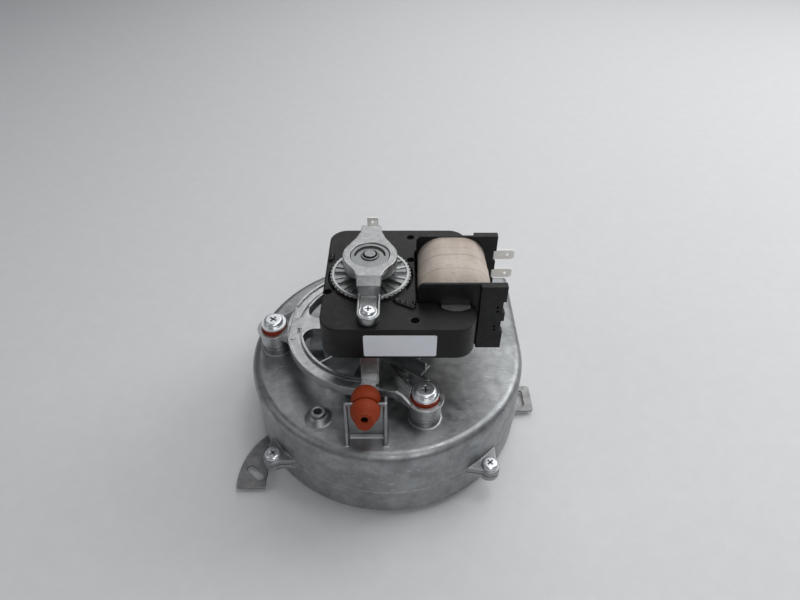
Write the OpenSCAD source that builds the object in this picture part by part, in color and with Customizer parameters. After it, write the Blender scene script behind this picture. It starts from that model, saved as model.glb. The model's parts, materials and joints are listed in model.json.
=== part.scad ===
// Combustion fan of a boiler: an eccentric two-part die-cast housing with a tangential
// outlet, a radial impeller inside it, and a shaded-pole motor carried above it on a
// cast bracket with three silicone grommets.
// The origin is on the shaft axis, in the plane of the mounting plate's underside.
// +Z points up the shaft, +X to the coil side and +Y the way the outlet blows.

/* [Housing] */
// Outside radius of the round housing
housing_r = 81; // [79:0.5:86]
// Offset of the housing centre from the shaft, towards the coil
housing_x = 8.3; // [7:0.1:9]
// Offset of the housing centre from the shaft, towards the outlet
housing_y = 3.6; // [2:0.1:5]
// Height of the housing top above the mounting face
housing_h = 51.4; // [48:0.1:56]
// Height of the joint between the two halves
seam_z = 19.4; // [17:0.1:22]
// Wall thickness of both halves
wall = 2.5; // [2:0.1:3]
// Rounding of the top rim
rim_r = 5.4; // [3:0.1:6]
// Thickness of the gasket in the joint
gasket_t = 0.6; // [0.4:0.1:1]
// How far the outlet's end lies behind the shaft
outlet_y = 70; // [68:0.5:76]
// Height of the outlet mouth
mouth_h = 36; // [30:0.5:38]
// Radius of the inlet opening
inlet_r = 35; // [32:0.5:36]
// How far the inlet collar stands out below the mounting plate
collar_drop = 3; // [2:0.1:5]

/* [Housing fasteners] */
// Distance of the ear screws from the housing wall
ear_reach = 6.2; // [5.5:0.1:7]
// Radius of the round end of an ear
ear_r = 5.7; // [5.4:0.1:6.6]
// Thickness of each half's ear
ear_t = 3.4; // [3:0.1:5]
// Radius of the ear screws' heads
ear_head_r = 4.6; // [4:0.1:4.8]
// Height of the ear screws' heads
ear_head_h = 2.7; // [2:0.1:3.2]
// Radius of the M4 screws' shanks
screw_r = 1.95; // [1.6:0.05:2.2]

/* [Mounting plate] */
// Thickness of the mounting plate
plate_t = 1.5; // [1.2:0.1:2]
// Width of the two lug slots
slot_w = 4.6; // [4:0.1:5]
// Length between the ends' centres of a slot
slot_l = 8.5; // [6:0.1:10]
// Reach of the right lug beyond the housing wall
right_lug_reach = 12.7; // [11:0.1:15]
// Width of the right lug
right_lug_w = 20.5; // [18:0.1:24]

/* [Impeller] */
// Outside radius of the impeller
impeller_r = 61; // [58:0.5:62]
// Number of impeller blades
blade_count = 16; // [8:1:24]
// Thickness of the impeller's sheet metal
sheet_t = 1.2; // [0.8:0.1:1.6]
// Gap from the impeller's back plate to the housing top
back_gap = 5.7; // [5:0.1:8]
// Gap from the impeller's inlet ring to the housing floor
front_gap = 4; // [3:0.1:6]

/* [Shaft and bearings] */
// Radius of the shaft
shaft_r = 3; // [2.5:0.05:3.2]
// Radial clearance of everything on the shaft
shaft_fit = 0.03; // [0.02:0.01:0.08]
// Outside radius of the two sintered bearings
bearing_r = 7.5; // [7:0.1:8]
// Length of a bearing
bearing_l = 6; // [5:0.1:6.5]

/* [Motor bracket] */
// Distance of the three grommets from the shaft
eye_pcd_r = 57.8; // [56:0.1:60]
// Height of the bosses below the grommets
boss_h = 5.1; // [4:0.1:7]
// Outside radius of a grommet's two flanges
grommet_r = 7.2; // [6.8:0.1:7.4]
// Outside radius of an eye
eye_r = 9.9; // [9.4:0.1:10.2]
// Height of an eye
eye_h = 9.7; // [8.5:0.1:10.5]
// Inner radius of the half ring
ring_in = 40.5; // [39:0.1:42]
// Outer radius of the half ring
ring_out = 49; // [47.5:0.1:49.5]
// Height of the posts from the bracket's top to the motor casing
post_h = 16.2; // [15:0.1:18]
// Width of the posts
post_w = 9.2; // [8.5:0.1:11]

/* [Motor] */
// Length of the motor casing, along the coil side's direction
casing_l = 78.5; // [78:0.1:84]
// Width of the motor casing
casing_w = 84; // [82:0.5:90]
// Thickness of the motor casing
casing_t = 20; // [19:0.1:24]
// Distance from the shaft to the casing's end away from the coil
casing_back = 24.5; // [24:0.1:28]
// Thickness of the stack of laminations
core_t = 16; // [14:0.1:17]
// Width of the label on the casing's front
label_w = 36.5; // [30:0.5:40]
// Height of the label
label_h = 14.6; // [12:0.1:16]
// Radius of the rotor
rotor_r = 15.6; // [14.5:0.1:15.8]
// Distance of the bridge screws from the shaft
bridge_screw_y = 33; // [32:0.1:34]
// Height of the bearing bridge above the casing
bridge_h = 14.3; // [13.8:0.1:18]
// Radius of the cooling disc on the rotor
disc_r = 21.7; // [20:0.1:22]
// Number of notches round the cooling disc
disc_notches = 48; // [24:1:60]

/* [Coil] */
// Width of the taped coil
coil_w = 39; // [37:0.1:39.4]
// Height of the taped coil
coil_h = 40.6; // [36:0.1:43]
// Length of the coil between the bobbin's flanges
coil_l = 39; // [36:0.1:40]
// Thickness of the bobbin's flanges
flange_t = 1.5; // [1.2:0.1:2]
// Distance from the coil's middle to the terminal wings
wing_start = 12; // [11:0.1:13]
// Length of the terminal wings
wing_l = 13.4; // [12:0.1:15]
// Thickness of the terminal wings
wing_t = 4; // [3.5:0.1:4.5]
// How far the spade terminals stand out of the wing
tab_reach = 10.6; // [9:0.1:12]
// Width of a spade terminal
tab_w = 6.3; // [4.8:0.1:6.3]
// Thickness of a spade terminal
tab_t = 0.8; // [0.6:0.1:1]

/* [Pressure tap] */
// Radius of the two bulbs of the silicone tap
bulb_r = 7.6; // [7.2:0.1:8.1]
// Height of the upright plate that holds the tap
holder_h = 26.1; // [25:0.1:28]
// Thickness of the upright plate
holder_t = 1.7; // [1.4:0.1:2.2]

/* [Hidden] */
$fn = 96;

// Overlap used where one shape cuts or joins another
eps = 0.5;
// Tall enough to cut through anything
through = 300;
housing_c = [housing_x, housing_y];

// Levels of the housing and the impeller
upper_z = seam_z + gasket_t;
floor_z = plate_t + wall;
ceiling_z = housing_h - wall;
backplate_z = ceiling_z - back_gap - sheet_t;
inlet_ring_z = floor_z + front_gap;
lip_z = inlet_ring_z + 2;

// Levels of the motor's sprung mounting
boss_z = housing_h + boss_h;
eye_z = boss_z + 1.3;
eye_web_z = boss_z + 4.5;
eye_web_t = 3;
grommet_z = eye_web_z + eye_web_t + 6;
bracket_z = eye_z + 6.7;
bracket_top = bracket_z + 7.5;
eye_angles = [177.8, 300, 60];

// Levels of the motor
casing_z = bracket_top + post_h;
casing_top = casing_z + casing_t;
motor_mid = casing_z + casing_t / 2;
core_z = motor_mid - core_t / 2;
core_top = core_z + core_t;
bridge_top = casing_top + bridge_h;
upper_bearing_z = bridge_top - bearing_l - 1.4;
lower_bearing_z = bracket_z + 3.5;
shaft_top = bridge_top + 0.8;

// Plan of the laminations: one wide limb round the rotor and one limb in the coil
core_half_w = casing_w / 2 - 4;
core_left = -casing_back + 5.5;
core_right = casing_l - casing_back - 2;
limb_w = 15;
limb_x = core_right - limb_w / 2;
window_x = 19;
window_half_w = 24;
rotor_gap = 0.4;
disc_recess_r = disc_r + 0.9;

// Bobbin round the coil limb
bobbin_wall = 1.5;
limb_fit = 0.2;
tube_w = limb_w + 2 * (limb_fit + bobbin_wall);
tube_h = core_t + 2 * (limb_fit + bobbin_wall);
flange_half_h = coil_h / 2 + 1.2;
flange_y = coil_l / 2;
wing_x = limb_x + wing_start;
wing_end = wing_x + wing_l;
wing_notch_z = [7.8, -5.4];
tape_t = 0.8;

// Outlet mouth and the tongue beside it
tongue_root = housing_c + (housing_r - wall / 2) * [cos(53), sin(53)];
tongue_nose = (impeller_r + 6) * [cos(47), sin(47)];
mouth_x = tongue_root[0] + wall / 2;
mouth_w = housing_x + housing_r - 2 * wall - mouth_x;
mouth_z = floor_z + 3;

// Ears round the joint
ear_angles = [223, 311, 66, 135];
ear_base_w = 26;

// Features on the housing top
holder_x = -1.5;
holder_y = -ring_out - 13;
holder_w = 21.8;
tap_z = housing_h + holder_h - 3.2;
tap_neck_r = 5.9;
blind_boss = [-28, -51];

// Shapes used by several pieces

module at_housing_centre() {
    translate([housing_x, housing_y, 0]) children();
}

module tube(outer, inner, z0, z1) {
    translate([0, 0, z0]) difference() {
        cylinder(r = outer, h = z1 - z0);
        translate([0, 0, -eps]) cylinder(r = inner, h = z1 - z0 + 2 * eps);
    }
}

// Flat bar with round ends between two points of the plan
module bar(from, to, t) {
    span = to - from;
    translate(from) rotate(atan2(span[1], span[0])) {
        translate([0, -t / 2]) square([norm(span), t]);
        circle(d = t);
        translate([norm(span), 0]) circle(d = t);
    }
}

module raised_bar(from, to, t, z0, z1) {
    translate([0, 0, z0]) linear_extrude(z1 - z0) bar(from, to, t);
}

// Rectangle about the origin with round corners
module round_rect(w, h, r) {
    square([w - 2 * r, h], center = true);
    square([w, h - 2 * r], center = true);
    for (sx = [-1, 1], sy = [-1, 1])
        translate([sx * (w / 2 - r), sy * (h / 2 - r)]) circle(r = r);
}

// Domed screw head with a cross recess, standing on z = 0
module pan_head(r, h) {
    slot_l = 0.84 * r;
    slot_w = 0.16 * r;
    difference() {
        rotate_extrude() rim_profile(r, 0, h, 0.7 * h);
        for (a = [0, 90]) rotate(a)
            translate([-slot_l / 2, -slot_w / 2, 0.3 * h]) cube([slot_l, slot_w, h]);
    }
}

// Half section of a round body with its top edge rounded
module rim_profile(w, z0, z1, r) {
    translate([0, z0]) square([w - r, z1 - z0]);
    translate([0, z0]) square([w, z1 - z0 - r]);
    translate([w - r, z1 - r]) intersection() {
        circle(r = r);
        square(r);
    }
}

// Plan of the housing, drawn in from its outside by inset
module housing_plan(inset) {
    translate(housing_c) {
        circle(r = housing_r - inset);
        square([housing_r - inset, outlet_y - inset - housing_y]);
    }
}

module ear_plan() {
    translate(housing_c) for (a = ear_angles) rotate(a) {
        translate([housing_r + ear_reach, 0]) circle(r = ear_r);
        polygon([
            [housing_r - wall, -ear_base_w / 2], [housing_r + ear_reach, -ear_r],
            [housing_r + ear_reach, ear_r], [housing_r - wall, ear_base_w / 2]
        ]);
    }
}

module at_ears() {
    at_housing_centre() for (a = ear_angles) rotate(a)
        translate([housing_r + ear_reach, 0, 0]) children();
}

module at_eyes() {
    for (a = eye_angles) rotate(a) translate([eye_pcd_r, 0, 0]) children();
}

module mouth() {
    translate([mouth_x, outlet_y - 3 * wall, mouth_z]) cube([mouth_w, 6 * wall, mouth_h]);
}

module tongue(z0, z1) {
    raised_bar(tongue_nose, tongue_root, wall, z0, z1);
}

// Housing

// Slots of the two lugs, each between its end points
left_lug = housing_c + housing_r * [cos(218), sin(218)];
left_slot = left_lug + [-17.2, -4.3];
left_slot_turn = -40;
right_lug = housing_c + [housing_r, -1];
right_slot = right_lug + [5.2, slot_l / 2];
right_slot_turn = -90;

module lug_slot(start, turn) {
    bar(start, start + slot_l * [cos(turn), sin(turn)], slot_w);
}

module left_lug_plan() {
    inner_edge = -6.9;
    translate(left_lug) {
        intersection() {
            translate([19, -10.7]) circle(r = 42.8);
            translate([-28, -16.9]) square([28 + inner_edge, 40]);
        }
        // Neck that joins the lug to the plate under the ear
        translate([inner_edge - eps, 2]) square([11, 21]);
    }
}

module right_lug_plan() {
    corner = 2;
    root = -wall * 3;
    half_w = right_lug_w / 2;
    translate(right_lug) {
        // Tongue with a straight ledge that runs forward along the wall
        polygon([
            [root, half_w], [right_lug_reach - corner, half_w], [right_lug_reach - corner, -half_w],
            [1.4, -half_w], [-7.4, -30], [-9.8, -32.2], [-20, -28], [-20, 0], [root, 0]
        ]);
        translate([0, corner - half_w]) square([right_lug_reach, right_lug_w - 2 * corner]);
        for (side = [-1, 1])
            translate([right_lug_reach - corner, side * (half_w - corner)]) circle(r = corner);
    }
}

rivet_r = 2;
rivet_pcd_r = 52;
rivet_angles = [45, 135, 225, 315];

module mounting_plate() {
    color("#8b8d8c") difference() {
        union() {
            at_housing_centre() cylinder(r = housing_r - 1, h = plate_t);
            linear_extrude(plate_t) left_lug_plan();
            linear_extrude(plate_t) right_lug_plan();
        }
        translate([0, 0, -eps]) {
            linear_extrude(through) lug_slot(left_slot, left_slot_turn);
            linear_extrude(through) lug_slot(right_slot, right_slot_turn);
            cylinder(r = inlet_r + wall + 0.3, h = through);
            for (a = rivet_angles) rotate(a)
                translate([rivet_pcd_r, 0, 0]) cylinder(r = rivet_r + 0.05, h = through);
        }
    }
}

module plate_rivets() {
    color("#b9bbbc") for (a = rivet_angles) rotate(a) translate([rivet_pcd_r, 0, 0]) {
        cylinder(r = rivet_r, h = floor_z + eps);
        translate([0, 0, floor_z]) cylinder(r = 1.75 * rivet_r, h = 1.2);
    }
}

module lower_housing() {
    color("#a3a6a8") difference() {
        union() {
            translate([0, 0, plate_t]) linear_extrude(seam_z - plate_t) housing_plan(0);
            translate([0, 0, seam_z - ear_t]) linear_extrude(ear_t) ear_plan();
        }
        difference() {
            translate([0, 0, floor_z]) linear_extrude(through) housing_plan(wall);
            cylinder(r = inlet_r + wall, h = lip_z);
            tongue(0, seam_z);
        }
        translate([0, 0, -through / 2]) cylinder(r = inlet_r, h = through);
        mouth();
        at_ears() cylinder(r = screw_r + 0.05, h = through);
        for (a = rivet_angles) rotate(a)
            translate([rivet_pcd_r, 0, 0]) cylinder(r = rivet_r + 0.05, h = through);
    }
    color("#a3a6a8") tube(inlet_r + wall, inlet_r, -collar_drop, floor_z);
}

module housing_gasket() {
    color("#4b4b49") translate([0, 0, seam_z]) difference() {
        linear_extrude(gasket_t) difference() {
            housing_plan(0.4);
            housing_plan(wall);
        }
        translate([0, 0, -seam_z]) mouth();
    }
}

module outlet_block() {
    depth = outlet_y - housing_y;
    intersection() {
        translate([housing_x, outlet_y, 0]) rotate([90, 0, 0])
            linear_extrude(depth) rim_profile(housing_r, upper_z, housing_h, rim_r);
        at_housing_centre() rotate([90, 0, 90])
            linear_extrude(housing_r) rim_profile(depth, upper_z, housing_h, rim_r);
    }
}

// Upright plate with an open notch for the tap, between two side ribs
module tap_holder() {
    rib_t = 1.8;
    rib_foot = 7.5;
    rib_back = [0, 4.7];
    notch_r = tap_neck_r + 0.1;
    notch_z = tap_z - housing_h + eps;
    top = holder_h + eps;
    translate([holder_x, holder_y, housing_h - eps]) {
        difference() {
            translate([-holder_w / 2, -holder_t / 2, 0]) cube([holder_w, holder_t, top]);
            translate([0, 0, notch_z]) rotate([90, 0, 0])
                cylinder(r = notch_r, h = 4 * holder_t, center = true);
            translate([-notch_r, -2 * holder_t, notch_z])
                cube([2 * notch_r, 4 * holder_t, holder_h]);
        }
        for (i = [0, 1])
            translate([i * (holder_w - rib_t) - holder_w / 2, 0, 0]) rotate([90, 0, 90])
                linear_extrude(rib_t) polygon([
                    [rib_back[i], 0], [rib_back[i], top], [-holder_t / 2, top],
                    [-rib_foot, eps], [-rib_foot, 0]
                ]);
        // Low step at the foot of the plate
        translate([-holder_w / 2 + 1, -holder_t / 2 - 1.4, 0]) cube([holder_w - 2, 2, 0.8 + eps]);
    }
}

module upper_housing() {
    seal_r = 2 * shaft_r + 4;
    color("#a9acae") difference() {
        union() {
            difference() {
                union() {
                    at_housing_centre() rotate_extrude()
                        rim_profile(housing_r, upper_z, housing_h, rim_r);
                    outlet_block();
                    translate([0, 0, upper_z]) linear_extrude(ear_t) ear_plan();
                }
                difference() {
                    linear_extrude(ceiling_z) housing_plan(wall);
                    tongue(0, ceiling_z);
                }
                mouth();
            }
            at_eyes() {
                translate([0, 0, housing_h - eps]) cylinder(r = 8.4, h = boss_h + eps);
                translate([0, 0, housing_h - eps]) cylinder(r1 = 9.5, r2 = 8.3, h = 1.4);
            }
            translate([blind_boss[0], blind_boss[1], housing_h - eps]) {
                cylinder(r = 4, h = 5.6 + eps);
                cylinder(r1 = 7.7, r2 = 4.6, h = 2.6 + eps);
            }
            translate([0, 0, housing_h - eps]) cylinder(r = seal_r + 3, h = 1 + eps);
            tap_holder();
        }
        at_eyes() translate([0, 0, ceiling_z]) cylinder(r = screw_r + 0.05, h = through);
        translate([blind_boss[0], blind_boss[1], housing_h - 1]) cylinder(r = 2, h = through);
        at_ears() cylinder(r = screw_r + 0.3, h = through);
        translate([0, 0, ceiling_z - eps]) cylinder(r = shaft_r + 3, h = through);
        translate([0, 0, housing_h]) cylinder(r = seal_r + 0.1, h = through);
    }
}

module housing_screws() {
    color("#cfd2d4") at_ears() {
        translate([0, 0, upper_z + ear_t]) pan_head(ear_head_r, ear_head_h);
        translate([0, 0, seam_z - ear_t - 2])
            cylinder(r = screw_r, h = upper_z + 2 * ear_t - seam_z + 2 + 0.3 * ear_head_h);
    }
}

module shaft_seal() {
    color("#3b3a38") tube(2 * shaft_r + 4, shaft_r + 0.5, housing_h, housing_h + 1.6);
}

// Impeller

hub_out_r = 7;
hub_flange_r = 12;
hub_z = backplate_z - 5;
washer_t = 1;
nut_h = 5;

module impeller_backplate() {
    color("#b4b8ba") tube(impeller_r, hub_out_r + 0.05, backplate_z, backplate_z + sheet_t);
}

module impeller_ring() {
    color("#b4b8ba") tube(impeller_r, inlet_r + wall + 2, inlet_ring_z, inlet_ring_z + sheet_t);
}

// Backward-curved blades, each a slice of a thin tube
module impeller_blades() {
    inner = inlet_r + wall + 3;
    curve_r = 40;
    z0 = inlet_ring_z + sheet_t;
    color("#b4b8ba") intersection() {
        for (i = [0 : blade_count - 1]) rotate(i * 360 / blade_count)
            translate([0, 0, z0]) linear_extrude(backplate_z - z0) intersection() {
                translate([(inner + impeller_r) / 2, -curve_r]) difference() {
                    circle(r = curve_r + sheet_t / 2);
                    circle(r = curve_r - sheet_t / 2);
                }
                translate([inner, -0.4 * inner]) square([impeller_r, 0.9 * inner]);
            }
        tube(impeller_r - 0.5, inner, 0, through);
    }
}

module impeller_hub() {
    color("#c3a45c") {
        tube(hub_out_r, shaft_r + shaft_fit, hub_z, backplate_z + sheet_t + 2);
        tube(hub_flange_r, hub_out_r - 1, backplate_z + sheet_t, backplate_z + sheet_t + 2);
    }
}

module impeller_washer() {
    color("#c9ccce") tube(2 * shaft_r, shaft_r + shaft_fit, hub_z - washer_t, hub_z);
}

module impeller_nut() {
    color("#c9ccce") translate([0, 0, hub_z - washer_t - nut_h]) difference() {
        cylinder(r = 1.85 * shaft_r, h = nut_h, $fn = 6);
        translate([0, 0, -eps]) cylinder(r = shaft_r + shaft_fit, h = nut_h + 2 * eps);
    }
}

module shaft() {
    end_z = hub_z - washer_t - nut_h - 1.5;
    color("#d2d5d7") translate([0, 0, end_z]) cylinder(r = shaft_r, h = shaft_top - end_z);
}

// Bladed disc that throws heat off the shaft, below the bracket
module cooling_fan() {
    fan_z = housing_h + 3.4;
    fan_r = ring_in - 2.5;
    blade_h = bracket_z - 2 - fan_z;
    color("#c4c8ca") {
        tube(fan_r - 8, shaft_r + shaft_fit, fan_z, fan_z + sheet_t);
        tube(2 * shaft_r, shaft_r + shaft_fit, fan_z, fan_z + blade_h);
        for (a = [0 : 36 : 324]) rotate(a) {
            translate([2 * shaft_r - eps, -sheet_t / 2, fan_z])
                cube([fan_r - 2 * shaft_r, sheet_t, blade_h]);
            translate([fan_r - 16, -5, fan_z]) cube([15, 10, sheet_t]);
        }
    }
}

// Motor bracket and its sprung feet

lip_t = 1.5;
ring_past = 4;
ring_floor_z = bracket_z + 1.5;
ring_floor_t = 5;
ring_floor_top = ring_floor_z + ring_floor_t;
bracket_hub_r = bearing_r + 3.5;
bracket_hub_top = lower_bearing_z + bearing_l + 2;
post_front = ring_in + 0.5;
spoke_w = 8;
spoke_h = 4.5;
left_arm_w = 8.8;
post_back = bridge_screw_y - 5;

// Ends of the arm to the front eye, and the small ring boss beside it
front_eye = eye_pcd_r * [cos(60), -sin(60)];
arm_start = [spoke_w / 2 - 1, -0.54 * ring_in];
arm_end = front_eye + [-7.6, 2.6];
arm_boss = 0.45 * arm_start + 0.55 * arm_end + [4.6, -2.2];

module ring_profile() {
    translate([ring_in, ring_floor_z]) square([ring_out - ring_in, ring_floor_t]);
    for (r = [ring_in, ring_out - lip_t])
        translate([r, ring_floor_z]) square([lip_t, bracket_top - ring_floor_z]);
}

// Half ring round the fan: a flat band between two lips, with a groove along the inner lip.
// The lips stop short of the arm to the left eye.
module half_ring() {
    lip_gap_r = 14;
    groove_w = 1.3;
    difference() {
        rotate(90 - ring_past) rotate_extrude(angle = 180 + 2 * ring_past) ring_profile();
        rotate(eye_angles[0]) translate([(ring_in + ring_out) / 2, 0, ring_floor_top + 0.15])
            cylinder(r = lip_gap_r, h = ring_floor_t);
        tube(ring_in + lip_t + groove_w, ring_in + lip_t - 0.1, ring_floor_top - 1.5, bracket_top + eps);
    }
}

// Eye for a grommet: a barrel under a wider rim
module eye() {
    rim_h = 2.6;
    barrel_r = eye_r - 1.2;
    cylinder(r = barrel_r, h = eye_h);
    translate([0, 0, eye_h - rim_h]) cylinder(r1 = barrel_r - 0.1, r2 = eye_r, h = 1);
    translate([0, 0, eye_h - rim_h + 1]) cylinder(r = eye_r, h = rim_h - 1);
}

// Arm to the front eye, with its two ribs, web and small ring boss
module side_arm() {
    lip_a = [-2, -ring_out + lip_t / 2 + 0.6];
    lip_b = [13.6, -ring_out - 0.4];
    lip_mid = lip_b + [3.4, -1.6];
    lip_c = front_eye + (eye_r - 0.4) * [cos(205), sin(205)];
    lip_turn = atan2(lip_c[1] - lip_b[1], lip_c[0] - lip_b[0]);
    lip_run = norm(lip_c - lip_b);
    rib_t = 1.8;
    arm_web_t = 1.9;
    step = 0.3;
    raised_bar(arm_start, arm_end, rib_t, bracket_z, bracket_top);
    raised_bar(arm_start - [0, 2], front_eye + [1.3, 7.8], rib_t, bracket_z, bracket_top);
    raised_bar(lip_a, lip_b, lip_t, ring_floor_z + step, bracket_top - step);
    intersection() {
        union() {
            raised_bar(lip_b, lip_mid, lip_t, bracket_z, bracket_top + step);
            raised_bar(lip_mid, lip_c, lip_t, bracket_z, bracket_top + step);
        }
        translate(lip_b) rotate(lip_turn) rotate([90, 0, 0])
            linear_extrude(3 * eye_r, center = true) polygon([
                [-lip_t, bracket_z - 1], [2 * lip_run, bracket_z - 1], [2 * lip_run, eye_z + eye_h],
                [lip_run, eye_z + eye_h + 0.7], [0, bracket_top - 2 * step],
                [-lip_t, bracket_top - 2 * step]
            ]);
    }
    translate([0, 0, ring_floor_z + step]) linear_extrude(arm_web_t)
        polygon([lip_a, lip_b, lip_c, arm_end, arm_start, [lip_a[0], arm_start[1]]]);
    translate([arm_boss[0], arm_boss[1], bracket_z]) cylinder(r = 2.7, h = 5.5);
}

// Filled corner between two shapes of the plan, rounded by a circle about centre
module rounded_corner(points, centre, r, z0, z1) {
    translate([0, 0, z0]) linear_extrude(z1 - z0) difference() {
        polygon(points);
        translate(centre) circle(r = r);
    }
}

// Arm to the left eye: a plate with round corners inside the ring and a neck at the eye,
// which falls from the ring's top to the eye
module left_arm() {
    tip = -eye_pcd_r + eye_r - 3;
    root = -bracket_hub_r + 3;
    edge = left_arm_w / 2;
    corner_r = 6.5;
    neck_r = 6;
    bite = 0.15;
    plate_z = bracket_z + 0.4;
    plate_top = ring_floor_top + 0.3;
    corner_y = edge + corner_r;
    corner = [-sqrt(pow(ring_in - corner_r, 2) - pow(corner_y, 2)), corner_y];
    // Where the neck's circle touches both the ring and the eye
    neck_reach = ring_out + neck_r;
    neck_x = -(pow(eye_pcd_r, 2) + pow(neck_reach, 2) - pow(eye_r + neck_r, 2)) / (2 * eye_pcd_r);
    neck = [neck_x, sqrt(pow(neck_reach, 2) - pow(neck_x, 2))];
    eye = [-eye_pcd_r, 0];
    intersection() {
        union() {
            translate([tip, -edge, bracket_z]) cube([root - tip, 2 * edge, 2 * eye_h]);
            for (side = [0, 1]) mirror([0, side, 0]) {
                rounded_corner(
                    [[corner[0], edge - 1], corner, corner * (ring_in + 1) / (ring_in - corner_r),
                        [-ring_in - 0.5, edge - 1]],
                    corner, corner_r + bite, bracket_z, bracket_z + 2 * eye_h
                );
                rounded_corner(
                    [eye, eye + (neck - eye) * (eye_r - 0.5) / (eye_r + neck_r), neck,
                        neck * (ring_out - 1) / neck_reach, [-ring_in - 3, 0]],
                    neck, neck_r + bite, bracket_z, bracket_z + 2 * eye_h
                );
            }
        }
        rotate([90, 0, 0]) linear_extrude(6 * left_arm_w, center = true) polygon([
            [-eye_pcd_r - 4, plate_z], [root + 1, plate_z], [root + 1, plate_top],
            [-ring_out + 2, plate_top], [-ring_out - 6, eye_z + eye_h + 0.4],
            [-eye_pcd_r - 4, eye_z + eye_h + 0.4]
        ]);
    }
}

// Upright post under the motor, its wide root on the ring and its spoke to the hub
module post() {
    root_step = 0.6;
    translate([-post_w / 2, -post_front, bracket_z])
        cube([post_w, post_front - post_back, casing_z - bracket_z]);
    translate([-post_w / 2, -ring_in - 4, ring_floor_z + root_step])
        cube([post_w, 8, bracket_top - ring_floor_z - 2 * root_step]);
    translate([-spoke_w / 2, -post_back - 2, bracket_z])
        cube([spoke_w, post_back + 4 - bracket_hub_r, spoke_h]);
}

module motor_bracket() {
    color("#b7babb") difference() {
        union() {
            half_ring();
            translate([0, 0, bracket_z]) cylinder(r = bracket_hub_r, h = bracket_hub_top - bracket_z);
            at_eyes() translate([0, 0, eye_z]) eye();
            rotate(eye_angles[0] - 180) left_arm();
            side_arm();
            mirror([0, 1, 0]) side_arm();
            post();
            mirror([0, 1, 0]) post();
        }
        at_eyes() {
            translate([0, 0, eye_web_z - eps]) cylinder(r = grommet_r - 2, h = through);
            translate([0, 0, eye_web_z + eye_web_t]) cylinder(r = grommet_r + 0.4, h = through);
            translate([0, 0, eye_web_z - through]) cylinder(r = grommet_r + 0.3, h = through);
        }
        translate([0, 0, lower_bearing_z]) cylinder(r = bearing_r + 0.02, h = through);
        cylinder(r = shaft_r + 1.2, h = through);
        for (side = [-1, 1]) {
            translate([0, side * bridge_screw_y, bracket_z + 4])
                cylinder(r = screw_r + 0.05, h = through);
            translate([arm_boss[0], side * arm_boss[1], bracket_z - eps])
                cylinder(r = 1.5, h = through);
        }
    }
}

module grommets() {
    neck_r = grommet_r - 2.1;
    color("#b8482c") at_eyes() difference() {
        union() {
            translate([0, 0, boss_z]) cylinder(r = grommet_r, h = eye_web_z - boss_z);
            translate([0, 0, boss_z]) cylinder(r = neck_r, h = grommet_z - boss_z);
            translate([0, 0, eye_web_z + eye_web_t])
                cylinder(r = grommet_r, h = grommet_z - eye_web_z - eye_web_t);
        }
        translate([0, 0, boss_z - eps]) cylinder(r = screw_r + 1.3, h = through);
    }
}

module spacer_sleeves() {
    color("#c9ccce") at_eyes() tube(screw_r + 1.25, screw_r + 0.15, boss_z, grommet_z);
}

module bracket_screws() {
    flange_h = 1.4;
    color("#d3d6d8") at_eyes() {
        translate([0, 0, grommet_z]) cylinder(r = grommet_r, h = flange_h);
        translate([0, 0, grommet_z + flange_h]) rotate(60) pan_head(0.78 * grommet_r, 2.4);
        translate([0, 0, ceiling_z]) cylinder(r = screw_r, h = grommet_z - ceiling_z + eps);
    }
}

// Bearings, rotor and shaft furniture

module bearing(z) {
    tube(bearing_r, shaft_r + shaft_fit, z, z + bearing_l);
}

// Sprung washer that holds a bearing down, with one crescent window on its back half
module bearing_clip(z, outer) {
    crescent_r = outer - 1.9;
    translate([0, 0, z]) linear_extrude(0.8) difference() {
        circle(r = outer);
        circle(r = clip_hole_r);
        intersection() {
            difference() {
                circle(r = crescent_r);
                translate([0, -1.7]) circle(r = crescent_r - 0.8);
            }
            translate([-outer, -0.6]) square(2 * outer);
        }
    }
}

clip_r = bearing_r + 2.6;
clip_hole_r = shaft_r + 1.8;
ledge_r = bearing_r - 1.2;
end_ring_t = 1.6;

module lower_bearing() {
    color("#a98b56") bearing(lower_bearing_z);
}

module lower_bearing_clip() {
    color("#b9bcbe") bearing_clip(bracket_hub_top, clip_r);
    // Skirt that stands on the bearing
    color("#b9bcbe") tube(bearing_r - 0.5, clip_hole_r, lower_bearing_z + bearing_l, bracket_hub_top);
}

module rotor_spacer() {
    start_z = lower_bearing_z + bearing_l + 0.2;
    color("#e4e2da") tube(shaft_r + 1.6, shaft_r + shaft_fit, start_z, core_z - end_ring_t);
}

module rotor_core() {
    color("#6d7073") tube(rotor_r, shaft_r + shaft_fit, core_z, core_top);
}

module rotor_end_rings() {
    color("#bfc3c6") for (z = [core_z - end_ring_t, core_top])
        tube(rotor_r - 0.4, shaft_r + shaft_fit, z, z + end_ring_t);
}

module thrust_washer() {
    color("#e4e2da") tube(ledge_r - 0.3, shaft_r + shaft_fit, upper_bearing_z - 1, upper_bearing_z - 0.2);
}

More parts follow.
